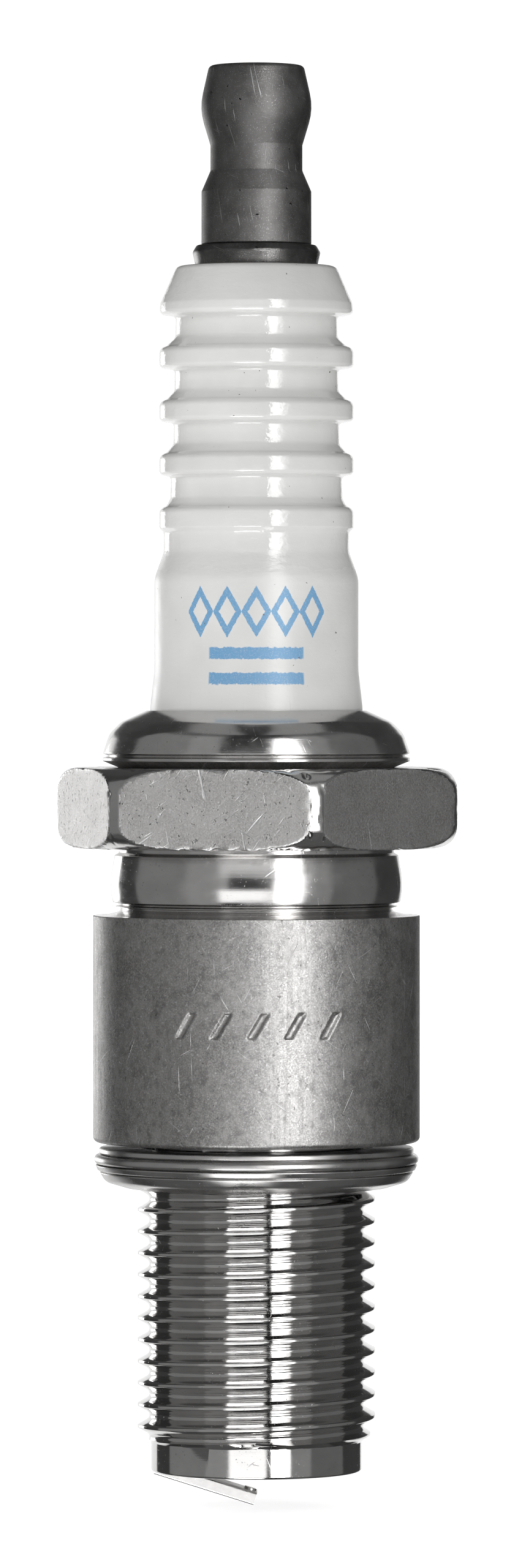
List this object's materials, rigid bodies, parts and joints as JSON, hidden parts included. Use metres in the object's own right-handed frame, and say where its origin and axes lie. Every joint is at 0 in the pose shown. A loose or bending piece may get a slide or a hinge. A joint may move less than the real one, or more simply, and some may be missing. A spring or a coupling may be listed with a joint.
{
  "type": "spark plug",
  "caption": "Resistor spark plug with ribbed insulator, screw-on terminal nut, hexagon, long shell collar, loose crush gasket, M14 thread and a slanted cut-back ground electrode.",
  "frame": {"origin": "on the plug's axis, in the plane of the shell's gasket seat (underside of the collar)", "axes": "+Z along the axis towards the terminal, -Z down the thread to the firing end; the ground electrode is welded on at -X; -Y is the side with the stamped slashes"},
  "size_m": [0.0232, 0.0228, 0.083],
  "materials": {
    "shell_steel": "satin",
    "glazed_insulator": "gloss",
    "stud_steel": "satin",
    "terminal_steel": "satin",
    "glass_seal": "satin",
    "resistor": "matte",
    "electrode_nickel": "satin",
    "copper": "satin",
    "iridium": "polished",
    "packing_steel": "satin",
    "talc": "matte",
    "gasket_steel": "gloss"
  },
  "bodies": {
    "plug": {"metal_shell": "shell_steel", "insulator": "glazed_insulator", "terminal_stud": "stud_steel", "upper_glass_seal": "glass_seal", "resistor_core": "resistor", "lower_glass_seal": "glass_seal", "centre_electrode_sheath": "electrode_nickel", "centre_electrode_copper_core": "copper", "iridium_tip": "iridium", "tip_weld_bead": "electrode_nickel", "ground_electrode": "electrode_nickel", "ground_electrode_pad": "iridium", "upper_wire_ring": "packing_steel", "talc_packing": "talc", "lower_wire_ring": "packing_steel", "seat_washer": "packing_steel"},
    "terminal_nut": {"terminal_nut": "terminal_steel"},
    "gasket": {"gasket": "gasket_steel"}
  },
  "joints": [
    {"name": "terminal_nut_off_stud", "type": "slide", "parent": "plug", "child": "terminal_nut", "axis": [0, 0, 1], "range_m": [0, 0.0085]},
    {"name": "gasket_float", "type": "slide", "parent": "plug", "child": "gasket", "axis": [0, 0, 1], "range_m": [0, 0.00028]}
  ]
}
